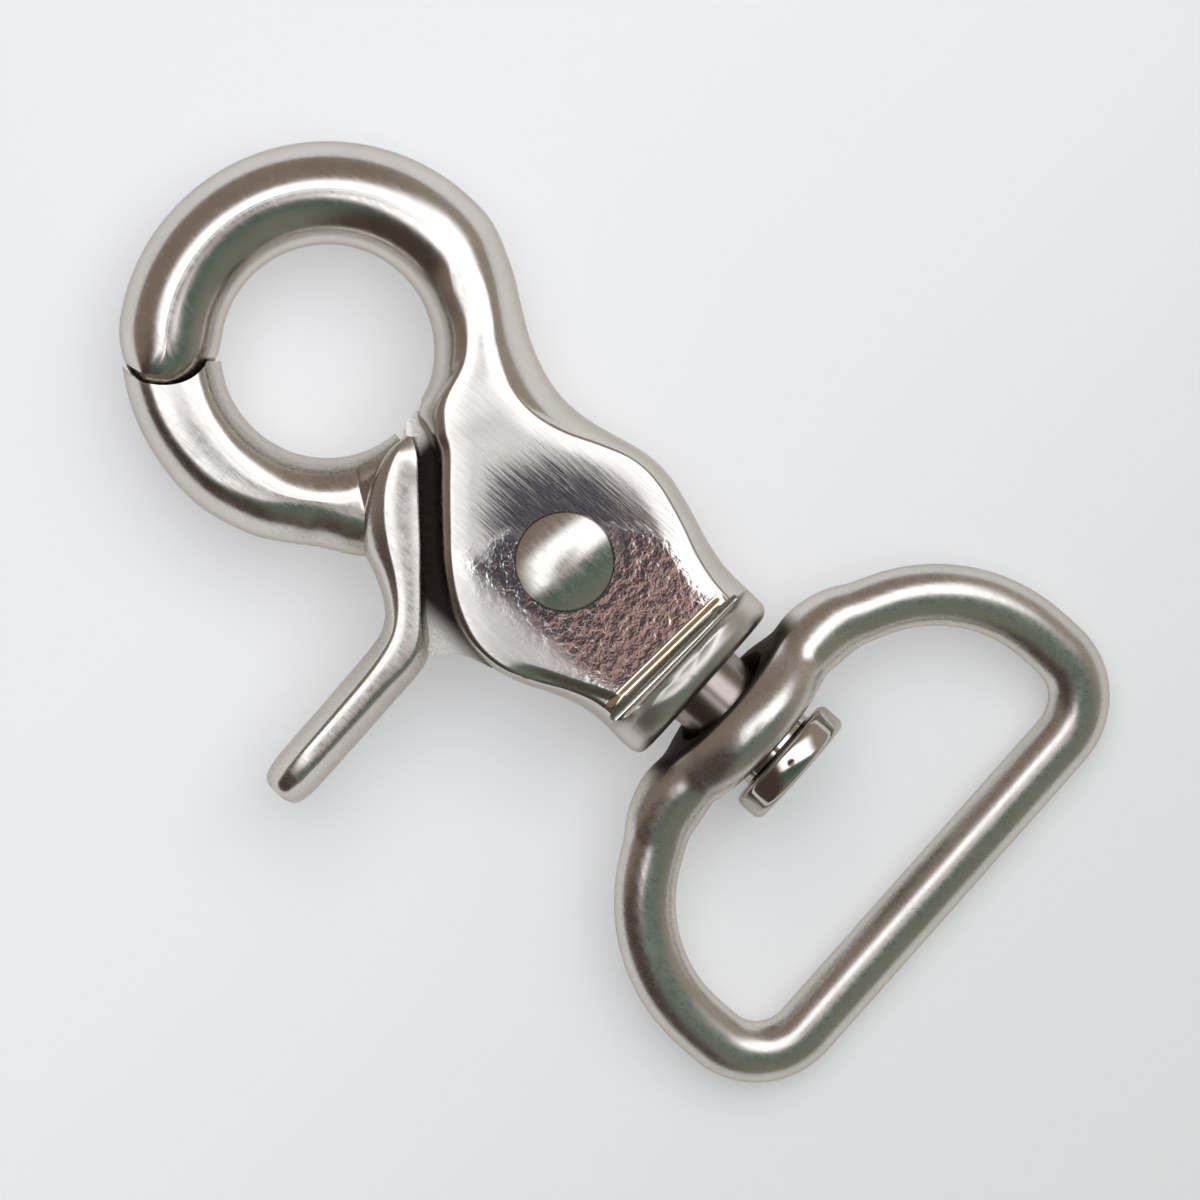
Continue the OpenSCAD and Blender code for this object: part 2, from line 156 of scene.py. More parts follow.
def revolve(name, profile, axis_x=True, steps=96, place=TO_FRAME):
    """Turns (radius, height) points about the pin's axis, or about the rivet's."""
    points = []
    for k in range(steps):
        a = 2 * math.pi * k / steps
        c, s = math.cos(a), math.sin(a)
        points += [(h, r * c, r * s) if axis_x else (r * c, r * s, h) for r, h in profile]
    count = len(profile)
    faces = []
    for i in range(steps):
        j = (i + 1) % steps
        for k in range(count - 1):
            faces.append((i * count + k, i * count + k + 1, j * count + k + 1, j * count + k))

    def close_ends(bm):
        bmesh.ops.dissolve_degenerate(bm, dist=1e-8, edges=bm.edges)
        bmesh.ops.holes_fill(bm, edges=[e for e in bm.edges if e.is_boundary], sides=0)
        bmesh.ops.recalc_face_normals(bm, faces=bm.faces)

    obj = mesh_object(name, points, faces, place)
    edit(obj.data, close_ends)
    return obj


# %% [markdown]
# Pieces are joined and cut with the exact boolean, and a modifier is always made
# part of the mesh at once. A sharp line is kept only where two faces really turn
# away from each other, so one casting can have soft flanks and crisp edges.

# %% Joining, cutting and shading
def baked(obj):
    """Applies what the modifiers do, and leaves none on the piece."""
    graph = bpy.context.evaluated_depsgraph_get()
    graph.update()
    mesh = bpy.data.meshes.new_from_object(obj.evaluated_get(graph))
    obj.modifiers.clear()
    obj.data = mesh
    return obj


def combine(obj, other, how):
    cut = obj.modifiers.new(how, "BOOLEAN")
    cut.operation = how
    cut.solver = "EXACT"
    cut.object = other
    baked(obj)
    bpy.data.objects.remove(other)
    return obj


def smooth_shaded(obj, angle=35):
    """Smooth shading, with a sharp line only where the surface really turns."""
    def shade(bm):
        merge(bm, SHADE_MERGE)
        for face in bm.faces:
            face.smooth = True
        for edge in bm.edges:
            turned = len(edge.link_faces) == 2 and edge.calc_face_angle(0) >= math.radians(angle)
            edge.smooth = not turned

    edit(obj.data, shade)
    return obj


# %% [markdown]
# ## Cast sections
# A die-cast bar is a loft: an outline with two rails, a half depth, and how
# wide and how round the flank is at each rail. A sculpted mesh would also do,
# but here each number is one that a pattern maker could measure. `spline` runs
# smoothly through the rows of numbers, and `ring_of` draws one closed section,
# with the crisp rims eased as tumbling and plating do.

# %% Cast sections
FLANK = 16          # points up a flank
EASE = 4            # points round an eased rim
LAND = 5            # points across each rolled edge of the top
WALL = 0.75         # share of a flank's points that lie below its bevel
BEVEL_FALL = 0.75   # how much lower a bevel ends, for its width
LEAST_BEVEL = 0.02  # a narrower one is left out
ROLL, ROLL_SHARE, ROLL_FALL = 1.3, 0.45, 0.06   # the rolled edge: width, most of the top, fall


def polar(radius, angle):
    """The point at so many degrees round the origin."""
    return radius * math.cos(math.radians(angle)), radius * math.sin(math.radians(angle))


def circle(radius, steps, start=0, stop=360):
    """Points round a circle, or along an arc with both its ends."""
    ends = 0 if stop - start == 360 else 1
    return [polar(radius, start + (stop - start) * k / steps) for k in range(steps + ends)]


def spline(rows, steps):
    rows = [np.array(row, float) for row in rows]
    last = len(rows) - 1
    out = []
    for i in range(last):
        p0, p1, p2, p3 = rows[max(i - 1, 0)], rows[i], rows[i + 1], rows[min(i + 2, last)]
        for j in range(steps):
            t = j / steps
            out.append(0.5 * (2 * p1 + (p2 - p0) * t + (2 * p0 - 5 * p1 + 4 * p2 - p3) * t * t
                              + (3 * p1 - p0 - 3 * p2 + p3) * t ** 3))
    return out + [rows[-1]]


def station(outer, inner, half, flank_out, flank_in, turn, ease=0.2,
            bevel_out=0, bevel_in=0, cap=9):
    """One row of numbers: two rails, the half depth, the flanks' widths and how far they turn,
    the eased rim, the bevels along the rims, and the height of a cut across the top."""
    return (*outer, *inner, half, flank_out, flank_in, turn, ease, bevel_out, bevel_in, cap)


def flank_points(flank, bevel, half, full, ease):
    """Points up one flank, from the silhouette to the end of its eased rim."""
    bevel = min(max(bevel, 0.0), 0.75 * flank)
    fall = BEVEL_FALL * bevel
    wall, reach, rise = 1, flank, half
    if bevel >= LEAST_BEVEL:
        wall, reach, rise = WALL, flank - bevel, half - fall

    def at(share):
        if share <= wall:
            angle = full * (share / wall)
            return np.array([reach * (1 - math.cos(angle)) / (1 - math.cos(full)),
                             rise * math.sin(angle) / math.sin(full)])
        up = (share - WALL) / (1 - WALL)
        swell = 0.1 * bevel * math.sin(math.pi * up)
        return np.array([reach + bevel * up - 0.6 * swell, rise + fall * up + 0.8 * swell])

    rim, cut = at(1.0), 1.0
    while np.linalg.norm(at(cut) - rim) < ease and cut > 0.5:
        cut -= 0.01
    curve = [at(cut * k / FLANK) for k in range(FLANK + 1)]
    start, end = curve[-1], rim + np.array([ease, 0])
    for t in [k / EASE for k in range(1, EASE + 1)]:
        curve.append((1 - t) ** 2 * start + 2 * t * (1 - t) * rim + t * t * end)
    return curve


def half_profile(width, half, flank_out, flank_in, turn, ease, bevel_out, bevel_in):
    """Points (across, up) from the outer silhouette over the top to the inner one."""
    full = math.radians(turn)
    land = max(width - flank_out - flank_in, 1e-3)
    ease = min(ease, 0.45 * land, 0.4 * half)
    half = half - ROLL_FALL * min(ROLL, ROLL_SHARE * max(land - 2 * ease, 0))
    left = flank_points(flank_out, bevel_out, half, full, ease)
    right = flank_points(flank_in, bevel_in, half, full, ease)
    a, b = left[-1][0], width - right[-1][0]
    roll = min(ROLL, ROLL_SHARE * (b - a))
    rolled = [(roll * k / LAND, ROLL_FALL * roll * (1 - (1 - k / LAND) ** 2))
              for k in range(1, LAND + 1)]
    middle = [np.array([a + u, half + v]) for u, v in rolled]
    middle += [np.array([b - u, half + v]) for u, v in reversed(rolled)]
    return left + middle + [np.array([width - p[0], p[1]]) for p in reversed(right)]


def ring_of(row):
    """The closed section that a station's numbers describe."""
    a, b, cap = np.array(row[0:2]), np.array(row[2:4]), row[11]
    width = np.linalg.norm(b - a)
    across = (b - a) / width
    top = [(u, min(v, cap)) for u, v in half_profile(width, *row[4:11])]
    points = [(*(a + across * p[0]), p[1]) for p in top]
    points += [(*(a + across * p[0]), -p[1]) for p in reversed(top[1:-1])]
    return points


# %% [markdown]
# ## Swept wire, as a node tree
# The strap ring and the spring both follow a path, so one Geometry Nodes tree
# draws both. The path comes in as a mesh of edges; it becomes a smooth curve, a
# circle runs along it, and two values stored on each point say how wide the
# section is there and how much it is flattened towards the path's own plane.
# A lofted skin in Python would do as well, but here the wire's size, sides and
# steps stay inputs that can be turned by hand.

# %% Swept wire
def wire_tree():
    tree = bpy.data.node_groups.new("swept_wire", "GeometryNodeTree")

    def socket(name, kind, way="INPUT", value=None):
        made = tree.interface.new_socket(name=name, in_out=way, socket_type="NodeSocket" + kind)
        if value is not None:
            made.default_value = value

    def node(kind, **links):
        made = tree.nodes.new("GeometryNode" + kind)
        for name, source in links.items():
            tree.links.new(source, made.inputs[name.replace("_", " ")])
        return made

    def stored(name):
        made = tree.nodes.new("GeometryNodeInputNamedAttribute")
        made.data_type = "FLOAT"
        made.inputs["Name"].default_value = name
        return made.outputs["Attribute"]

    socket("Path", "Geometry")
    socket("Wire Radius", "Float", value=1.0)
    socket("Sides", "Int", value=48)
    socket("Steps", "Int", value=3)
    socket("Material", "Material")
    socket("Mesh", "Geometry", "OUTPUT")
    given = tree.nodes.new("NodeGroupInput").outputs
    curve = node("MeshToCurve", Mesh=given["Path"]).outputs[0]
    kind = node("CurveSplineType", Curve=curve)
    kind.spline_type = "CATMULL_ROM"
    curve = node("SetSplineResolution", Geometry=kind.outputs[0],
                 Resolution=given["Steps"]).outputs[0]
    curve = node("SetCurveRadius", Curve=curve, Radius=stored("wide")).outputs[0]
    profile = node("CurvePrimitiveCircle", Resolution=given["Sides"],
                   Radius=given["Wire Radius"]).outputs[0]
    sweep = node("CurveToMesh", Curve=curve, Profile_Curve=profile)
    sweep.inputs["Fill Caps"].default_value = True
    if "Scale" in sweep.inputs:
        tree.links.new(stored("wide"), sweep.inputs["Scale"])
    flatten = tree.nodes.new("ShaderNodeCombineXYZ")
    flatten.inputs["X"].default_value = 1
    flatten.inputs["Y"].default_value = 1
    tree.links.new(stored("flat"), flatten.inputs["Z"])
    pressed = tree.nodes.new("ShaderNodeVectorMath")
    pressed.operation = "MULTIPLY"
    tree.links.new(node("InputPosition").outputs[0], pressed.inputs[0])
    tree.links.new(flatten.outputs[0], pressed.inputs[1])
    moved = node("SetPosition", Geometry=sweep.outputs[0], Position=pressed.outputs[0]).outputs[0]
    real = node("RealizeInstances", Geometry=moved).outputs[0]
    dressed = node("SetMaterial", Geometry=real, Material=given["Material"]).outputs[0]
    tree.links.new(dressed, tree.nodes.new("NodeGroupOutput").inputs[0])
    return tree


WIRE_TREE = wire_tree()
print("wire tree:", len(WIRE_TREE.nodes), "nodes")


def swept(name, path, radius, sides, steps, material, place):
    """`path` rows are x, y, z, width and flatness; the result is a closed mesh in the frame."""
    mesh = bpy.data.meshes.new(name)
    mesh.from_pydata([row[:3] for row in path], [(k, k + 1) for k in range(len(path) - 1)], [])
    for column, key in ((3, "wide"), (4, "flat")):
        values = mesh.attributes.new(key, "FLOAT", "POINT").data
        values.foreach_set("value", [float(row[column]) for row in path])
    obj = link(bpy.data.objects.new(name, mesh))
    modifier = obj.modifiers.new("wire", "NODES")
    modifier.node_group = WIRE_TREE
    keys = {item.name: item.identifier for item in WIRE_TREE.interface.items_tree
            if item.in_out == "INPUT"}
    for label, value in (("Wire Radius", radius), ("Sides", sides), ("Steps", steps),
                         ("Material", material)):
        modifier[keys[label]] = value
    baked(obj)
    obj.data.transform(place)
    edit(obj.data, merge)
    return obj


# %% [markdown]
# ## Hook body: bar and nose
# The hook body is one casting. It starts as a round bar bent about the eye, with
# a blunt nose that sits in the lever's jaw. The nose's outline is a
# super-ellipse, fuller than a half circle, and leans a little outwards at its
# tip. The same `nose_point` later draws its seat in the jaw, so the two fit.

# %% Hook bar and nose
EYE = np.array([-18.15, 0.0])
EYE_R, BAR_W = 6.1, 5.9
BAR_MID = EYE_R + BAR_W / 2
NOSE, CROWN = 214, 82               # degrees round the eye: the nose's foot, the neck's start
NOSE_HALF, CROWN_MORE = 3.05, 0.45  # half depth at the nose, and how much more at the crown
NOSE_LONG, BLUNT = 3.3, 0.82
TIP_LEAN, FOOT_LEAN = 0.55, 0.12
ROUND, FLATTER = 0.49, 0.17         # a flank's share of the bar, and how much less at the tip
BAR_STEP = 2.2


def eye_point(angle, radius):
    return tuple(EYE + np.array(polar(radius, angle)))


def bar_station(angle):
    half = NOSE_HALF + CROWN_MORE * ((NOSE - angle) / (NOSE - CROWN)) ** 2.8
    return station(eye_point(angle, EYE_R + BAR_W), eye_point(angle, EYE_R), half,
                   ROUND * BAR_W, ROUND * BAR_W, 90)


outwards, forwards = np.array(polar(1, NOSE)), np.array(polar(1, NOSE + 90))


def nose_point(side, ahead):
    """`side` mm outwards of the bar's middle and `ahead` mm past the nose's foot, with its lean."""
    past = max(ahead, 0)
    lean = TIP_LEAN * (past / NOSE_LONG) ** 5 - FOOT_LEAN * past / NOSE_LONG
    return eye_point(NOSE, BAR_MID) + (side + lean) * outwards + ahead * forwards


nose = []
for turn in (88.5, 86, 82, 77, 71, 63, 55, 46, 37, 28, 19, 9):
    size, ahead = math.cos(math.radians(turn)) ** BLUNT, NOSE_LONG * math.sin(math.radians(turn))
    flank = BAR_W * size * (ROUND - FLATTER * min(1.0, max(0.0, (turn - 15) / 45)))
    nose.append(station(nose_point(size * BAR_W / 2, ahead),
                        nose_point(-size * BAR_W / 2, ahead),
                        NOSE_HALF * size ** 0.3, flank, flank, 90))
bar = [bar_station(angle) for angle in np.arange(NOSE, CROWN + 1, -BAR_STEP)]
print("hook bar:", len(nose), "sections in the nose,", len(bar), "round the eye")

# %% [markdown]
# ## Hook body: neck, cheeks and collar
# Past the crown the bar flattens into two cheeks, which end in a small ledge
# with a raised lip, and a round collar follows. The first row of the neck lies
# back on the bar, so that the curve is already running when it takes over.

# %% Neck, cheeks and collar
CHEEK = 4.35
STEPS = 6
neck_and_cheek = spline([
    bar_station(CROWN + 18),
    bar_station(CROWN),
    station((-13.6, 10.65), eye_point(65, EYE_R), 3.85, 2.3, 2.1, 84, 0.4),
    station((-11.8, 9.45), eye_point(46, EYE_R), 4.15, 2.0, 2.1, 76, 0.35),
    station((-10.1, 8.3), eye_point(26, EYE_R), 4.25, 2.1, 2.1, 70, 0.3, 0, 0.3),
    station((-8.6, 7.55), (-12.0, 0.6), 4.3, 2.2, 2.0, 66, 0.25, 0.1, 0.75),
    station((-7.2, 7.08), (-10.6, 0.0), CHEEK, 2.25, 1.25, 66, 0.2, 0.3, 0.65),
    station((-5.9, 6.9), (-9.5, -0.62), CHEEK, 2.15, 1.12, 68, 0.15, 0.4, 0.6),
    station((-4.4, 6.97), (-8.1, -2.1), CHEEK, 1.75, 1.08, 70, 0.12, 0.4, 0.6),
    station((-2.8, 7.28), (-6.5, -3.75), CHEEK, 1.25, 1.02, 70, 0.12, 0.35, 0.58),
    station((-1.3, 7.62), (-4.85, -5.3), CHEEK, 1.0, 0.9, 68, 0.12, 0.3, 0.52),
    station((0, 7.75), (-2.92, -6.5), CHEEK, 0.95, 0.7, 66, 0.15, 0.27, 0.42),
    station((1.3, 7.63), (-0.9, -7.15), CHEEK, 0.97, 0.5, 64, 0.15, 0.25, 0.3),
    station((2.6, 7.27), (1.1, -7.25), CHEEK, 1.0, 0.5, 62, 0.15, 0.25, 0.2),
    station((4.0, 6.78), (3.0, -6.75), CHEEK, 1.05, 0.6, 62, 0.18, 0.25, 0.15),
    station((5.5, 6.24), (4.9, -5.92), CHEEK, 1.15, 0.7, 62, 0.2, 0.25, 0.15),
    station((7.0, 5.88), (6.4, -5.5), CHEEK, 1.22, 0.8, 62, 0.2, 0.25, 0.15),
    station((8.33, 5.77), (7.5, -5.42), CHEEK, 1.3, 0.85, 62, 0.2, 0.25, 0.15),
], STEPS)[STEPS:]
ledge = [(0.04, 4.3), (0.08, 4.22), (0.12, 4.1), (0.15, 3.95), (0.18, 3.78), (0.22, 3.62),
         (0.28, 3.52), (0.36, 3.49)]        # (how far past the cheek, how high)
cheek_end = [station((8.33 + past, 5.77), (7.5 + 1.3 * past, -5.42), CHEEK, 1.3, 0.85, 62,
                     0.2, 0.25, 0.15, height) for past, height in ledge]
collar = spline([
    station((8.78, 5.76), (8.12, -5.44), 4.2, 1.4, 1.0, 64, 0.25, 0.2, 0.1, 3.52),
    station((8.9, 5.75), (8.5, -5.46), 3.85, 2.1, 1.8, 70, 0.6, 0, 0, 3.64),
    station((9.1, 5.74), (8.9, -5.5), 3.78, 3.1, 2.9, 79, 0.8),
    station((9.35, 5.73), (9.28, -5.52), 3.87, 4.1, 4.0, 86, 0.8),
    station((9.65, 5.72), (9.63, -5.52), 3.93, 4.9, 4.8, 89, 0.6),
    station((9.95, 5.7), (9.95, -5.51), 3.9, 5.2, 5.2, 90, 0.5),
    station((10.22, 5.6), (10.22, -5.43), 3.79, 5.25, 5.25, 90, 0.5),
    station((10.42, 5.44), (10.42, -5.28), 3.62, 5.1, 5.1, 90, 0.5),
    station((10.56, 5.18), (10.56, -5.03), 3.38, 4.85, 4.85, 90, 0.5),
    station((10.62, 4.8), (10.62, -4.65), 3.0, 4.4, 4.4, 90, 0.5),
], 4)
hook_rows = nose + bar + neck_and_cheek + cheek_end + collar
hook = skin("hook_casting", [ring_of(row) for row in hook_rows])
print("hook sections:", len(hook_rows))

# %% [markdown]
# ## Hook body: slot and pin chamber
# The lever's web turns in a slot between the cheeks, round a hub and up to a
# stop. The swivel pin is held by a chamber inside the collar that is wider than
# its bore. Both are cut out, as a mould's core and a drill would leave them.

# %% Slot and pin chamber
FIT = 0.05                      # room round every turning part
HUB_R, SLOT_HALF, STOP_WAY = 4.65, 1.8, 305.6
PIN_R, FLANGE_R, FLANGE_LOW, FLANGE_HIGH = 2.525, 3.15, 6.2, 7.9
slot_outline = [polar(16, STOP_WAY), (9.2, -24), (-12.9, -24), (-12.9, 0.9), (-12.6, 1.4),
                (-9, 1.4), *circle(HUB_R, 40, start=118, stop=STOP_WAY - 360)]
combine(hook, prism("slot", slot_outline, -SLOT_HALF, SLOT_HALF), "DIFFERENCE")
chamber_r, bore_r, chamber_end = FLANGE_R + FIT, PIN_R + FIT, FLANGE_HIGH + FIT
combine(hook, revolve("pin_bore", [
    (0, FLANGE_LOW - FIT), (chamber_r, FLANGE_LOW - FIT), (chamber_r, chamber_end),
    (bore_r, chamber_end), (bore_r, 12), (0, 12)]), "DIFFERENCE")
smooth_shaded(hook)
print("hook casting:", len(hook.data.polygons), "faces")

# %% [markdown]
# ## Lever: jaw, band and web
# The lower jaw, the band beside the slot, the thumb trigger and the web that
# turns between the cheeks are one casting too. Jaw and band are lofts that cross
# each other, and a union joins them as the mould does.

# %% Jaw, band and web
JAW_R, JAW_HALF = 11.45, 3.3
BAND, DROP = 4.1, 20.7          # half depth of the band, and how far down the trigger ends
WEB_HALF, HEEL_R, HEEL_WAY = 1.65, 7.35, 277


def jaw_station(angle, outer, half, flank, ease=0.3):
    return station(eye_point(angle, JAW_R + outer), eye_point(angle, EYE_R), half,
                   flank, flank, 80, ease)


jaw_rows = spline([
    jaw_station(351, -2.1, 1.45, 1.0),
    jaw_station(343, -0.9, 1.75, 1.4),
    jaw_station(335, 0.1, 2.15, 1.6),
    jaw_station(330, 0.75, 2.55, 1.8),
    jaw_station(327, 0.8, 2.85, 2.0, 0.2),
    jaw_station(325.4, 0.7, 3.05, 2.1, 0.2),
    jaw_station(324.6, 0.65, 3.09, 2.1, 0.2),
    jaw_station(322.5, 0.5, 3.11, 2.15),
    jaw_station(318, 0.25, 3.13, 2.25),
    jaw_station(309, -0.26, 3.2, 2.25),
    jaw_station(300, -0.28, 3.27, 2.2),
    jaw_station(288, -0.1, JAW_HALF, 2.0),
    jaw_station(270, 0.05, JAW_HALF, 1.75),
    jaw_station(250, 0.1, JAW_HALF, 1.55),
    jaw_station(232, 0.25, 3.2, 1.5),
    jaw_station(216, 0.4, 3.05, 1.5),
    jaw_station(206, 0.5, 3.0, 1.5),
], 6)
band_rows = spline([
    station((-11.05, -0.33), (-11.6, -0.75), 0.9 * BAND, 0.15, 0.25, 76, 0.08),
    station((-10.05, -1.05), (-11.72, -2.0), BAND, 0.15, 0.6, 70, 0.08, 0, 0.45),
    station((-8.87, -2.3), (-11.42, -3.9), BAND, 0.15, 1.05, 68, 0.1, 0, 0.75),
    station((-7.67, -3.55), (-10.55, -5.75), BAND, 0.15, 1.5, 66, 0.1, 0, 1.1),
    station((-6.5, -4.77), (-9.2, -7.05), BAND, 0.15, 1.6, 64, 0.1, 0, 1.05),
    station((-5.3, -6.05), (-7.7, -7.72), BAND, 0.2, 1.3, 62, 0.1, 0, 0.72),
    station((-3.9, -7.4), (-6.35, -8.48), BAND, 0.35, 1.0, 62, 0.12, 0, 0.45),
    station((-2.6, -8.65), (-5.5, -9.35), BAND, 0.65, 0.85, 62, 0.15, 0.1, 0.2),
    station((-2.05, -10.0), (-5.12, -10.4), BAND, 0.8, 0.85, 62, 0.18, 0.15, 0.15),
    station((-2.0, -12.4), (-5.0, -12.6), BAND, 0.9, 0.95, 62, 0.2, 0.1, 0.1),
    station((-2.0, -DROP + 3), (-4.95, -DROP + 3), BAND, 0.9, 0.95, 62, 0.2),
], 6)
trigger_end = spline([
    station((-2.02, -DROP + 1.5), (-4.92, -DROP + 1.5), 0.97 * BAND, 0.95, 1.0, 66),
    station((-2.15, -DROP + 0.6), (-4.8, -DROP + 0.6), 0.88 * BAND, 1.0, 1.0, 72),
    station((-2.4, -DROP + 0.15), (-4.55, -DROP + 0.15), 0.78 * BAND, 0.9, 0.9, 80),
    station((-2.65, -DROP), (-4.3, -DROP), 0.68 * BAND, 0.7, 0.7, 84),
], 3)
web_outline = [eye_point(8, EYE_R + 0.05), (-9, 1.0), *circle(4.3, 40, start=122, stop=-83),
               polar(HEEL_R, HEEL_WAY), (-0.35, -7.62), (-1.1, -7.97), (-1.6, -8.4), (-2.15, -9.0),
               (-3.6, -9.4), (-9.2, -4.7), (-10.9, -1.6), eye_point(-3, EYE_R + 0.05)]
lever = skin("lever_casting", [ring_of(row) for row in jaw_rows])
combine(lever, skin("band", [ring_of(row) for row in band_rows + trigger_end]), "UNION")
combine(lever, prism("web", web_outline, -WEB_HALF, WEB_HALF), "UNION")
print("lever before its cuts:", len(lever.data.polygons), "faces")

# %% [markdown]
# ## Lever: the nose's seat
# The jaw takes the nose in a saddle: the same outline as the nose with a hair of
# room, which closes in over the top and the bottom. So the seat is cut with a
# skin through outlines at several heights, and the rivet's bore is drilled.

# %% Seat and rivet bore
SEAT_GAP, LIP_START, SEAT_SIDE = 0.1, 1.5, 3.2
SHANK_R = 1.5
# (height, how much the sides close in, how much the end does)
closing_in = [(0, 0, 0), (1.0, 0.06, 0), (1.6, 0.18, 0.02), (2.1, 0.36, 0.05), (2.5, 0.5, 0.15),
              (3.2, 0.48, 0.15), (8, 0.4, 0.1)]
seat_rings = []
for height, side_in, end_in in [(-h, s, e) for h, s, e in reversed(closing_in[1:])] + closing_in:
    wide, long = BAR_W / 2 + SEAT_GAP - side_in, NOSE_LONG + SEAT_GAP - end_in
    first = math.asin((LIP_START / long) ** (1 / BLUNT))
    outline = [nose_point(SEAT_SIDE, LIP_START - 0.2)]
    for t in np.linspace(first, math.pi - first, 61):
        c = math.cos(t)
        outline.append(nose_point(wide * math.copysign(abs(c) ** BLUNT, c),
                                  long * math.sin(t) ** BLUNT))
    outline += [nose_point(-SEAT_SIDE, LIP_START - 0.2), nose_point(-SEAT_SIDE, -9),
                nose_point(SEAT_SIDE, -9)]
    seat_rings.append([(*point, height) for point in outline])
combine(lever, skin("seat", seat_rings), "DIFFERENCE")
rivet_bore = [(0, -3), (SHANK_R + FIT, -3), (SHANK_R + FIT, 3), (0, 3)]
combine(lever, revolve("rivet_bore", rivet_bore, axis_x=False), "DIFFERENCE")
smooth_shaded(lever, 40)
print("lever casting:", len(lever.data.polygons), "faces")

# %% [markdown]
# ## Rivet and swivel pin
# Both are turned parts, so both are profiles revolved about their own axis. The
# rivet has a low dome on each side. The pin has a flange inside the collar, a
# shank, and a thick head with a rounded rim inside the strap ring.

# %% Rivet and pin
RIVET_R, RIVET_RISE, SKIRT = 2.85, 0.85, 0.15
dome_rise = RIVET_RISE - SKIRT
dome_r = (RIVET_R ** 2 + dome_rise ** 2) / (2 * dome_rise)
dome_edge = math.asin(RIVET_R / dome_r)
dome = [(dome_r * math.sin(dome_edge * (1 - k / 16)),
         CHEEK + RIVET_RISE - dome_r + dome_r * math.cos(dome_edge * (1 - k / 16)))
        for k in range(17)]
upper = [(SHANK_R, CHEEK), (RIVET_R - 0.04, CHEEK), (RIVET_R, CHEEK + 0.04)] + dome
rivet = revolve("rivet_turned", [(r, -h) for r, h in reversed(upper)] + upper, axis_x=False)
smooth_shaded(rivet, 50)

HEAD_R, HEAD_IN, HEAD_OUT, HEAD_ROUND = 3.7, 16.3, 18.1, 0.45
rim = []
for angle in range(-90, 91, 20):
    out, up = polar(HEAD_ROUND, angle)
    middle = HEAD_IN + HEAD_ROUND if angle < 0 else HEAD_OUT - HEAD_ROUND
    rim.append((HEAD_R - HEAD_ROUND + out, middle + up))
pin_profile = [(0, FLANGE_LOW), (FLANGE_R, FLANGE_LOW), (FLANGE_R, FLANGE_HIGH),
               (PIN_R, FLANGE_HIGH), (PIN_R, HEAD_IN - 0.1), (PIN_R + 0.1, HEAD_IN),
               *rim, (0, HEAD_OUT)]
pin = smooth_shaded(revolve("pin_turned", pin_profile), 40)
print("rivet:", len(rivet.data.polygons), "faces, pin:", len(pin.data.polygons), "faces")

# %% [markdown]
# ## Torsion spring
# Three and a half turns of round wire about the hub, with a straight leg at each
# end. It is drawn by the same node tree. Its pocket is cut into the lever's web:
# round for the coil, a wide wedge for the fixed leg, which the web swings past,
# and a narrow one for the leg that follows the lever.

# %% Torsion spring
SPRING_R, SPRING_WIRE, TURNS, COIL_END = 2.55, 0.26, 3.5, 50
MOVING_LEG, FIXED_LEG = 2.4, 3.7
POCKET_R, POCKET_FLOOR = 3.2, -0.97
OPENING = 28                    # degrees that the lever turns
spring_steel = bpy.data.materials.new("spring_steel")


def on_coil(angle):
    rise = (2 * SPRING_WIRE + 0.04) * (angle - COIL_END + 360 * TURNS) / 360
    return np.array([*polar(SPRING_R, angle), POCKET_FLOOR + SPRING_WIRE + 0.03 + rise])


def leg_tip(angle, length):
    a = math.radians(angle)
    return on_coil(angle) + length * np.array([-math.sin(a), math.cos(a), 0])


coil_start = COIL_END - 360 * TURNS
moving_tip, fixed_tip = leg_tip(coil_start, -MOVING_LEG), leg_tip(COIL_END, FIXED_LEG)
coil = [moving_tip, *[on_coil(a) for a in np.linspace(coil_start, COIL_END, 85)], fixed_tip]
spring = swept("spring_coil", [(*point, 1, 1) for point in coil], SPRING_WIRE, 16, 2,
               spring_steel, TO_FRAME)
smooth_shaded(spring, 50)

tip_way = math.degrees(math.atan2(moving_tip[1], moving_tip[0])) % 360
tip_reach = np.linalg.norm(moving_tip[:2]) + 0.3
fixed_leg_room = [(0, 0), polar(7, 30), polar(8, 70), polar(7, 112)]
moving_leg_room = [(0, 0), *circle(tip_reach, 16, start=tip_way - OPENING - 6, stop=tip_way + 22)]
for outline in (circle(POCKET_R, 64), fixed_leg_room, moving_leg_room):
    combine(lever, prism("pocket", outline, POCKET_FLOOR, 3), "DIFFERENCE")
smooth_shaded(lever, 40)
print("spring:", len(spring.data.polygons), "faces")

# %% [markdown]
# ## Strap ring: the wire
# The wire of the ring follows one path from the boss round to the boss again,
# thick at its roots and even after them. The ring droops from the pin until its
# bar lies on the table, which gives the angle.

# %% Strap ring: the wire
BOSS = np.array([13.45, 0.2])
WIRE, RING_HALF, REACH = 1.78, 14.85, 15.1
SHOULDER_R, CORNER_R = 9.6, 3.7
droop = math.asin((PIVOT.z / MM - WIRE) / REACH)
RING_PLACE = TO_FRAME @ Matrix.Translation((BOSS[0], BOSS[1], 0)) @ Matrix.Rotation(droop, 4, "Y")


def arc(centre_x, radius, start, stop, steps):
    """Even wire round a corner of the ring."""
    return [(centre_x + radius * math.cos(math.radians(a)),
             RING_HALF - radius + radius * math.sin(math.radians(a)), WIRE, WIRE)
            for a in np.linspace(start, stop, steps)]


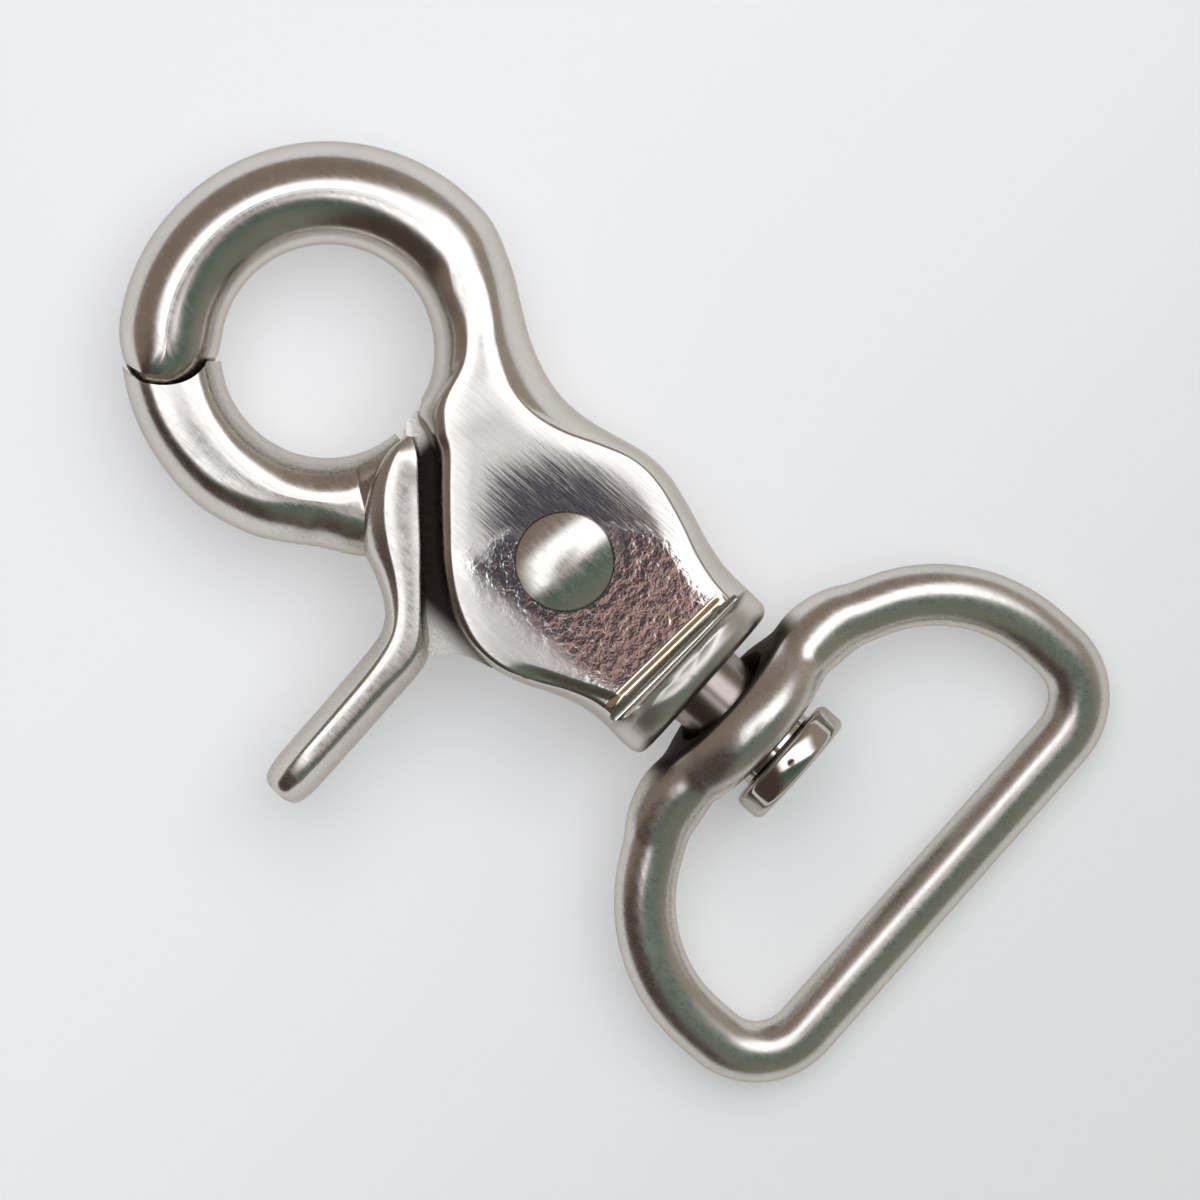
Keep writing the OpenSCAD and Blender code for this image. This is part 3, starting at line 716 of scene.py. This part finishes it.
# (x, y, how wide the section is, how deep)
half_path = [(0, 3.7, 1.45, 2.6), (0.0, 4.6, 1.8, 2.65), (0.02, 5.4, 2.05, 2.58),
             (0.07, 6.05, 2.12, 2.45), (0.2, 6.8, 2.08, 2.25), (0.52, 7.8, 1.95, 2.0),
             (1.03, 8.7, 1.82, 1.82)]
half_path += arc(10.05, SHOULDER_R, 153, 90, 10)
half_path += arc(REACH - CORNER_R, CORNER_R, 90, 0, 12)
half_path += [(REACH, RING_HALF - CORNER_R - d, WIRE, WIRE) for d in (0.5, 1.2, 2.4, 4.4, 7.4)]
other_half = [(x, -y, wide, deep) for x, y, wide, deep in reversed(half_path)]
path = [*half_path, (REACH, 0, WIRE, WIRE), *other_half]
ring_nickel = bpy.data.materials.new("ring_nickel")
ring = swept("ring_casting", [(x, y, 0, wide, deep / wide) for x, y, wide, deep in path],
             1.0, 48, 3, ring_nickel, RING_PLACE)
print("ring sweep:", len(ring.data.polygons), "faces")
print("droop:", round(math.degrees(droop), 2), "degrees")

# %% [markdown]
# ## Strap ring: boss and bore
# The boss is an oval cushion with its crest near the middle. It is skinned from
# rounded outlines and joined to the wire. A casting has no crease there, so the
# joined skin is made even by a remesh and eased, most of all at the roots of the
# arms. The bore is cut afterwards, so that its edge stays crisp; it flares both
# ways, which lets the ring rock on the pin.

# %% Strap ring: boss and bore
BOSS_WIDE, BOSS_TALL, PINCH = 6.7, 4.8, 0.3
VOXEL = 0.13 * MM
# (along the pin, how far the outline is drawn in)
crest = [(-1.75, 1.5), (-1.74, 1.42), (-1.7, 1.32), (-1.6, 1.15), (-1.35, 0.88), (-1.1, 0.66),
         (-0.8, 0.44), (-0.45, 0.24), (0.0, 0.09), (0.4, 0.05), (0.8, 0.13), (1.15, 0.29),
         (1.4, 0.46), (1.56, 0.62), (1.66, 0.78), (1.72, 0.98), (1.75, 1.25)]
boss_rows = [[(x, (BOSS_WIDE - inset) * math.cos(t),
               (BOSS_TALL - inset) * math.sin(t) * (1 - PINCH * math.cos(t) ** 2))
              for t in np.linspace(0, 2 * math.pi, 129)[:-1]] for x, inset in crest]
combine(ring, skin("boss", boss_rows, RING_PLACE), "UNION")

even = ring.modifiers.new("even", "REMESH")
even.mode, even.voxel_size = "VOXEL", VOXEL
baked(ring)
roots = ring.vertex_groups.new(name="roots")
to_ring = RING_PLACE.inverted()
for vertex in ring.data.vertices:
    at = to_ring @ vertex.co
    side = abs(at.y)
    weight = max(0.0, min(1.0, (side - 3.4) / 1.8, (8.6 - side) / 1.6)) if at.x < 6 else 0.0
    roots.add([vertex.index], weight, "REPLACE")
ease_roots = ring.modifiers.new("ease", "SMOOTH")
ease_roots.factor, ease_roots.iterations, ease_roots.vertex_group = 0.5, 110, "roots"
soften = ring.modifiers.new("soften", "SMOOTH")
soften.factor, soften.iterations = 0.5, 12
baked(ring)
ring.vertex_groups.clear()

bore = [(0, -3), (3.9, -3), (3.3, -1.75), (3.08, -1.2), (2.92, -0.6), (2.88, 0), (2.92, 0.6),
        (3.08, 1.2), (3.3, 1.75), (3.9, 3), (0, 3)]
combine(ring, revolve("bore", bore, place=RING_PLACE), "DIFFERENCE")
smooth_shaded(ring, 40)
print("ring casting:", len(ring.data.polygons), "faces")

# %% [markdown]
# ## Node helpers
# Materials and the room are both node graphs, so a few short names keep them
# readable: `ramp` for a soft step, `blend` for colours, `level` for numbers, and
# `add`, `take`, `times` and `square` for sums.

# %% Node helpers
class Graph:
    """Short names for the nodes a material or a world is made of."""

    def __init__(self, tree):
        self.nodes, self.links = tree.nodes, tree.links

    def put(self, socket, value):
        if isinstance(value, bpy.types.NodeSocket):
            self.links.new(value, socket)
        elif socket.type == "RGBA" and len(value) == 3:
            socket.default_value = (*value, 1)
        else:
            socket.default_value = value

    def vector(self, kind, a, b):
        node = self.nodes.new("ShaderNodeVectorMath")
        node.operation = kind
        self.put(node.inputs[0], a)
        self.put(node.inputs["Scale" if kind == "SCALE" else 1], b)
        return node.outputs["Value" if kind == "DOT_PRODUCT" else "Vector"]

    def math(self, kind, a, b=0.0):
        node = self.nodes.new("ShaderNodeMath")
        node.operation = kind
        self.put(node.inputs[0], a)
        self.put(node.inputs[1], b)
        return node.outputs[0]

    def add(self, a, b):
        return self.math("ADD", a, b)

    def take(self, a, b):
        return self.math("SUBTRACT", a, b)

    def times(self, first, *others):
        for other in others:
            first = self.math("MULTIPLY", first, other)
        return first

    def square(self, value):
        return self.math("POWER", value, 2.0)

    def ramp(self, value, start, end, low=0.0, high=1.0):
        node = self.nodes.new("ShaderNodeMapRange")
        node.interpolation_type = "SMOOTHSTEP"
        for name, setting in (("From Min", start), ("From Max", end),
                              ("To Min", low), ("To Max", high)):
            self.put(node.inputs[name], setting)
        self.put(node.inputs["Value"], value)
        return node.outputs["Result"]

    def mix(self, kind, mask, below, above):
        node = self.nodes.new("ShaderNodeMix")
        node.data_type = "RGBA" if kind == "Color" else "FLOAT"
        ends = {socket.identifier: socket for socket in node.inputs}
        self.put(ends["Factor_Float"], mask)
        self.put(ends["A_" + kind], below)
        self.put(ends["B_" + kind], above)
        return next(socket for socket in node.outputs if socket.identifier == "Result_" + kind)

    def blend(self, mask, below, above):
        return self.mix("Color", mask, below, above)

    def level(self, mask, below, above):
        return self.mix("Float", mask, below, above)

    def noise(self, where, scale, detail=2.0, rough=0.5):
        node = self.nodes.new("ShaderNodeTexNoise")
        self.put(node.inputs["Vector"], where)
        node.inputs["Scale"].default_value = scale
        node.inputs["Detail"].default_value = detail
        node.inputs["Roughness"].default_value = rough
        return node.outputs["Fac"]


# %% [markdown]
# ## Plated metal
# One function makes every plated metal: a cloudy grain in the roughness, fine
# brushed streaks, and a bump a few microns high. Image textures would carry more
# grain, but this way the finish follows each piece wherever it turns, and every
# number stays in millimetres. A `finish` then adds what is a piece's own.

# %% Plated metal
NICKEL, TURNED, PIN_STEEL = (0.72, 0.685, 0.64), (0.72, 0.68, 0.63), (0.68, 0.64, 0.6)
WIRE_STEEL = (0.5, 0.48, 0.46)
PEEL = 0.0012                   # height of the grain
CLOUDED = 0.93                  # how much darker the cloudy patches are


def darker(colour, share):
    return tuple(share * c for c in colour)


def metal(name, colour, roughness, finish=None, brush=0.0):
    """Plated metal, in millimetres from the rivet; `finish` alters parts of it."""
    mat = bpy.data.materials.get(name) or bpy.data.materials.new(name)
    mat.use_nodes = True
    g = Graph(mat.node_tree)
    shader = mat.node_tree.nodes["Principled BSDF"]
    shader.inputs["Metallic"].default_value = 1
    coords = g.nodes.new("ShaderNodeTexCoord")
    where = g.vector("SCALE", g.vector("SUBTRACT", coords.outputs["Object"], tuple(PIVOT)), 1 / MM)
    axes = [g.vector("DOT_PRODUCT", where, way) for way in ((1, 0, 0), (0, 1, 0), (0, 0, 1))]
    grain = g.noise(where, 2.2, 4)
    streaks = g.noise(g.vector("MULTIPLY", where, (0.45, 7.5, 3.0)), 1.0, 3, 0.6)
    clouds = g.ramp(g.noise(where, 0.35, 2), 0.3, 0.7)
    parts = {
        "colour": g.blend(clouds, colour, darker(colour, CLOUDED)),
        "rough": g.add(g.ramp(grain, 0.3, 0.7, roughness - 0.025, roughness + 0.035),
                       g.ramp(streaks, 0.35, 0.7, -0.5 * brush, brush)),
        "height": g.add(g.times(grain, PEEL), g.times(streaks, 0.012 * brush)),
    }
    if finish:
        finish(g, where, axes, parts)
    bump = g.nodes.new("ShaderNodeBump")
    bump.inputs["Strength"].default_value = 1
    bump.inputs["Distance"].default_value = MM
    g.put(bump.inputs["Height"], parts["height"])
    g.put(shader.inputs["Normal"], bump.outputs["Normal"])
    g.put(shader.inputs["Base Color"], parts["colour"])
    g.put(shader.inputs["Roughness"], parts["rough"])
    shader.inputs["Specular Tint"].default_value = (*darker(colour, 0.95), 1)
    return mat


# %% [markdown]
# ## The cheek's finish
# The flat of the cheek is a little crowned. It is brushed and worn at the hook's
# side, and at the pin's side a corner is left as cast. A lip stands up along the
# cheek's end, a rim turns down at its lower edge, and the collar behind it is
# duller. All of it is drawn by soft steps along x and y, so it stays on the
# metal when the hook turns.

# %% The cheek's finish
CROWN_CENTRE, CROWN_DEPTH, CROWN_SPREAD = (0.5, 1.0), 0.3, 170.0
WORN_CENTRE, WORN_REACH = (0.8, 1.2), (9.4, 5.8)
RIM_DROP, LIP_RISE, LIP_X, LIP_SLANT = 0.16, 0.12, 7.75, 0.073
CAST_BUMP, BRUSHED = 0.028, 0.0035
# The lip's colour below is a painted highlight: a brighter gold base colour for the strip along the
# cheek's end.
LIP_HIGHLIGHT = (0.8, 0.69, 0.53)


def hook_finish(g, where, axes, parts):
    x, y, z = axes
    flat = g.ramp(g.math("ABSOLUTE", z), 4.22, 4.32)
    fine = g.noise(g.vector("MULTIPLY", where, (0.4, 14, 4)), 1.0, 3, 0.6)
    spread = g.take(g.noise(where, 0.6, 3), 0.5)

    # Crown of the flat, and the rim that turns down along its lower edge.
    away = g.add(g.square(g.take(x, CROWN_CENTRE[0])), g.square(g.take(y, CROWN_CENTRE[1])))
    crown_drop = g.times(g.math("DIVIDE", away, g.add(away, CROWN_SPREAD)), CROWN_DEPTH)
    above_rim = g.take(y, g.take(g.times(x, 0.42), 7.3))
    rim_drop = g.times(g.ramp(above_rim, 0.72, 0.05, 0.0, RIM_DROP),
                       g.times(g.ramp(x, 1.5, 3.6), g.ramp(x, 7.6, 7.0)))
    height = g.take(g.take(parts["height"], crown_drop), rim_drop)

    # Where the casting's own skin is left, up to the lip at the cheek's end.
    slant = g.add(g.take(x, g.times(y, 0.9)), g.times(spread, 5.0))
    past_lip = g.take(g.take(x, g.times(y, LIP_SLANT)), LIP_X)
    cast = g.times(g.ramp(slant, -2.9, -0.4), g.ramp(g.add(y, g.times(spread, 2.0)), -5.6, -3.4),
                   g.ramp(y, 5.4, 4.4), flat, g.ramp(past_lip, -0.36, -0.46))
    ground = g.times(flat, g.take(1.0, cast))
    lip = g.times(g.ramp(past_lip, -0.42, 0.1), flat)
    at_lip = g.times(g.ramp(past_lip, -0.45, -0.38), flat)
    rough_skin = g.times(g.noise(where, 1.6, 3, 0.55), CAST_BUMP)
    extra = g.add(g.times(rough_skin, cast), g.times(fine, BRUSHED, ground))
    parts["height"] = g.add(height, g.add(extra, g.times(lip, LIP_RISE)))

    # Worn smooth near the rivet, dull towards the edges and on the collar.
    reach = g.add(g.square(g.math("DIVIDE", g.take(x, WORN_CENTRE[0]), WORN_REACH[0])),
                  g.square(g.math("DIVIDE", g.take(y, WORN_CENTRE[1]), WORN_REACH[1])))
    wear = g.add(g.ramp(reach, 0.1, 1.0), g.times(g.take(fine, 0.5), 1.5))
    rough = g.level(ground, parts["rough"], g.ramp(wear, 0.05, 0.95, 0.1, 0.3))
    rough = g.level(cast, rough, g.ramp(y, -5.2, -3.0, 0.26, 0.09))
    rough = g.level(g.ramp(x, 8.4, 8.7), rough, 0.36)
    parts["rough"] = g.level(at_lip, rough, 0.12)
    colour = g.blend(g.times(ground, g.ramp(fine, 0.35, 0.65)), parts["colour"],
                     darker(NICKEL, 0.86))
    # Painted highlight: the lip's strip is coloured a brighter gold for the warm highlight along
    # it; its low roughness is real polish.
    parts["colour"] = g.blend(at_lip, colour, LIP_HIGHLIGHT)


# %% [markdown]
# ## The other finishes
# The lever's web is frosted where it can be seen, and painted near-black as the
# shade where it sits deep in the slot. The funnel of the ring's bore, which
# polishing never reaches, is rougher, and it and the boss's face towards the
# collar are painted near-black as the shade in the gap. The rivet's dome is
# ground more one way than the other, and a dark ring is painted round its foot
# as the shade in the crease there. The pin's shank is darker than its head.

# %% The other finishes
# The second colour here is painted shade: near-black for the web where it sits deep in the slot.
FROSTED, SLOT_SHADE, FROST = (0.86, 0.82, 0.78), (0.035, 0.025, 0.025), 0.05
# The first two colours here are painted shade: near-black for the gap at the ring's boss, and dark
# for the crease round the rivet's foot.
GAP_SHADE, FOOT_SHADE, DARK_SHANK = (0.12, 0.1, 0.09), (0.2, 0.16, 0.13), (0.36, 0.31, 0.29)
GROUND_MORE = 0.05


def lever_finish(g, where, axes, parts):
    x, y, z = axes
    web = g.times(g.ramp(g.math("ABSOLUTE", z), 1.75, 1.68), g.ramp(x, -12.6, -12.2),
                  g.ramp(g.add(x, y), -12.2, -11.4))
    # Painted shade: deep in the slot, between the cheeks, the web is coloured near-black.
    deep = g.times(g.ramp(y, -8.2, -6.6), g.ramp(x, -11.0, -10.0))
    parts["colour"] = g.blend(web, parts["colour"], g.blend(deep, FROSTED, SLOT_SHADE))
    parts["rough"] = g.level(web, parts["rough"], 0.5)
    frost = g.times(g.noise(where, 5.0, 3, 0.6), FROST)
    parts["height"] = g.add(parts["height"], g.times(frost, web))


def ring_finish(g, where, axes, parts):
    from_boss = g.vector("SUBTRACT", where, (BOSS[0], BOSS[1], 0))
    depth = g.vector("DOT_PRODUCT", from_boss, (math.cos(droop), 0, -math.sin(droop)))
    rise = g.vector("DOT_PRODUCT", from_boss, (math.sin(droop), 0, math.cos(droop)))
    side = g.vector("DOT_PRODUCT", from_boss, (0, 1, 0))
    radius = g.math("SQRT", g.add(g.square(rise), g.square(side)))
    behind = g.times(g.ramp(depth, -1.5, -1.62), g.ramp(radius, 6.4, 5.2))
    bore_skin = g.times(g.ramp(radius, 3.5, 3.4), g.ramp(depth, 2.2, 2.0))
    gap_shade_mask = g.math("MAXIMUM", behind, bore_skin)
    # Painted shade: the boss's face towards the collar and the bore's funnel are coloured
    # near-black for the shade in the gap; the higher roughness is their real unpolished finish.
    parts["colour"] = g.blend(gap_shade_mask, parts["colour"], GAP_SHADE)
    parts["rough"] = g.level(gap_shade_mask, parts["rough"], 0.45)


def rivet_finish(g, where, axes, parts):
    x, y, z = axes
    parts["height"] = g.add(parts["height"], g.times(g.square(y), GROUND_MORE))
    radius = g.math("SQRT", g.add(g.square(x), g.square(y)))
    # Painted shade: a dark ring at the dome's foot, for the shade in the crease against the cheek.
    parts["colour"] = g.blend(g.ramp(radius, 2.7, 2.82), parts["colour"], FOOT_SHADE)


def pin_finish(g, where, axes, parts):
    shank = g.ramp(axes[0], 13.6, 13.2)
    # The shank is coloured darker than the head.
    parts["colour"] = g.blend(shank, parts["colour"], DARK_SHANK)
    parts["rough"] = g.level(shank, parts["rough"], 0.25)


hook_nickel = metal("hook_nickel", NICKEL, 0.2, hook_finish, 0.045)
lever_nickel = metal("lever_nickel", NICKEL, 0.24, lever_finish, 0.05)
ring_nickel = metal("ring_nickel", NICKEL, 0.28, ring_finish, 0.02)
turned_nickel = metal("turned_nickel", TURNED, 0.22, rivet_finish, 0.05)
pin_nickel = metal("pin_nickel", PIN_STEEL, 0.1, pin_finish)
spring_steel = metal("spring_steel", WIRE_STEEL, 0.25)
print("finishes:", [mat.name for mat in (hook_nickel, lever_nickel, ring_nickel, turned_nickel,
                                         pin_nickel, spring_steel)])

# %% [markdown]
# ## Dress the frame
# Each finished piece takes the place of its node in the frame, and rides on
# that node's body.

# %% Dress the frame
for piece, node, body, slot, mat in (
        (hook, "hook_body", "hook", "cast_nickel", hook_nickel),
        (lever, "lever", "lever", "cast_nickel", lever_nickel),
        (rivet, "pivot_rivet", "hook", "rivet_nickel", turned_nickel),
        (pin, "swivel_pin", "pin", "pin_nickel", pin_nickel),
        (spring, "lever_spring", "hook", "spring_wire", spring_steel),
        (ring, "strap_ring", "ring", "cast_nickel", ring_nickel)):
    piece.data.materials.clear()
    piece.data.materials.append(mat)
    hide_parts(node)
    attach(piece, body)
    print(piece.name, "rides on", body)

# %% [markdown]
# ## Table
# A pale matt table that gets slightly darker away from the light. The change is
# drawn in its colour, so that the lamps can stay plain.

# %% Table
NEAR_WHITE, FAR_GREY = (0.83, 0.84, 0.855), (0.68, 0.69, 0.69)
bpy.ops.mesh.primitive_plane_add(size=2.0, location=(0, 0, 0))
floor = bpy.context.object
floor.name = "table"
table = bpy.data.materials.new("table")
table.use_nodes = True
g = Graph(table.node_tree)
spot = g.vector("SUBTRACT", g.nodes.new("ShaderNodeTexCoord").outputs["Object"], tuple(look_at))
fall = g.vector("DOT_PRODUCT", spot, tuple((RIGHT - UP * 0.8) / FRAME_WIDTH))
table_top = g.nodes["Principled BSDF"]
g.put(table_top.inputs["Base Color"], g.blend(g.ramp(fall, -0.5, 1.0), NEAR_WHITE, FAR_GREY))
g.put(table_top.inputs["Roughness"], 0.7)
floor.data.materials.append(table)
print("table:", table.name)

# %% [markdown]
# ## Lamps
# The panel, overhead and a little to the upper right, makes the soft shadow, and
# a fill without a shadow lifts it. Neither is seen in the metal.

# %% Lamps
PANEL_SIZE, PANEL_POWER, FILL_POWER = (0.62, 0.55), 1.75, 1.1
place = look_at + RIGHT * 0.06 + UP * 0.14 + Vector((0, 0, 0.5))
aim = (look_at - place).normalized()
for name, kind, energy in (("panel", "AREA", PANEL_POWER), ("fill", "SUN", FILL_POWER)):
    data = bpy.data.lights.new(name, kind)
    data.energy = energy
    data.use_shadow = kind == "AREA"
    if kind == "AREA":
        data.shape = "RECTANGLE"
        data.size, data.size_y = PANEL_SIZE
    lamp = link(bpy.data.objects.new(name, data))
    lamp.visible_glossy = False
    turn = aim.to_track_quat("-Z", "Y").to_matrix().to_4x4()
    lamp.matrix_world = Matrix.Translation(place) @ turn
    print("lamp:", name, kind)

# %% [markdown]
# ## The room in the metal
# Polished nickel shows the room and hardly any light of its own. The room is
# drawn as bands of colour by direction: dim and warm, green towards the lower
# right, with one long bright band across it and a dark and a reddish patch
# straight overhead. Only mirrored rays see it; the rest see a plain grey.

# %% The room in the metal
BAND_TURN = math.radians(27)        # how far the bright band rises to the right
FAR_WALL, GREEN_WALL, DARK_EDGE = (0.19, 0.2, 0.165), (0.065, 0.13, 0.1), (0.17, 0.12, 0.10)
WARM_WALL, LIT_WALL, DIM_CORNER = (0.24, 0.19, 0.155), (0.34, 0.3, 0.25), (0.07, 0.05, 0.042)
BRIGHT_BAND, DARK_ABOVE, RED_ABOVE = (1.95, 2.0, 2.1), (0.035, 0.037, 0.056), (0.52, 0.32, 0.28)
PLAIN_GREY = (0.26, 0.26, 0.265)
world = bpy.data.worlds.new("room")
bpy.context.scene.world = world
world.use_nodes = True
g = Graph(world.node_tree)
sky = g.nodes.new("ShaderNodeTexCoord").outputs["Generated"]
band_up = UP * math.cos(BAND_TURN) - RIGHT * math.sin(BAND_TURN)
band_on = RIGHT * math.cos(BAND_TURN) + UP * math.sin(BAND_TURN)
across = g.vector("DOT_PRODUCT", sky, tuple(band_up))
along = g.vector("DOT_PRODUCT", sky, tuple(band_on))
down_pin = g.vector("DOT_PRODUCT", sky, (1, 0, 0))
height = g.vector("DOT_PRODUCT", sky, (0, 0, 1))
room = g.blend(g.ramp(across, -0.75, -0.25), FAR_WALL, GREEN_WALL)
room = g.blend(g.ramp(across, -0.26, -0.13), room, DARK_EDGE)
room = g.blend(g.ramp(across, 0.0, 0.2), room, WARM_WALL)
room = g.blend(g.ramp(along, 0.45, 0.95), room, LIT_WALL)
room = g.blend(g.times(g.ramp(along, -0.3, -0.65), g.ramp(across, 0.5, 0.15)), room, DIM_CORNER)
bright = g.times(g.times(g.ramp(across, -0.15, -0.09), g.ramp(across, 0.5, 0.36)),
                 g.times(g.ramp(along, -0.48, -0.24), g.ramp(along, 0.85, 0.6)))
room = g.blend(bright, room, BRIGHT_BAND)
overhead = g.blend(g.ramp(down_pin, 0.015, 0.05), DARK_ABOVE, RED_ABOVE)
room = g.blend(g.ramp(height, 0.988, 0.9945), room, overhead)
mirrored = g.nodes.new("ShaderNodeLightPath").outputs["Is Glossy Ray"]
g.put(g.nodes["Background"].inputs["Color"], g.blend(mirrored, PLAIN_GREY, room))
print("room:", len(g.nodes), "nodes")
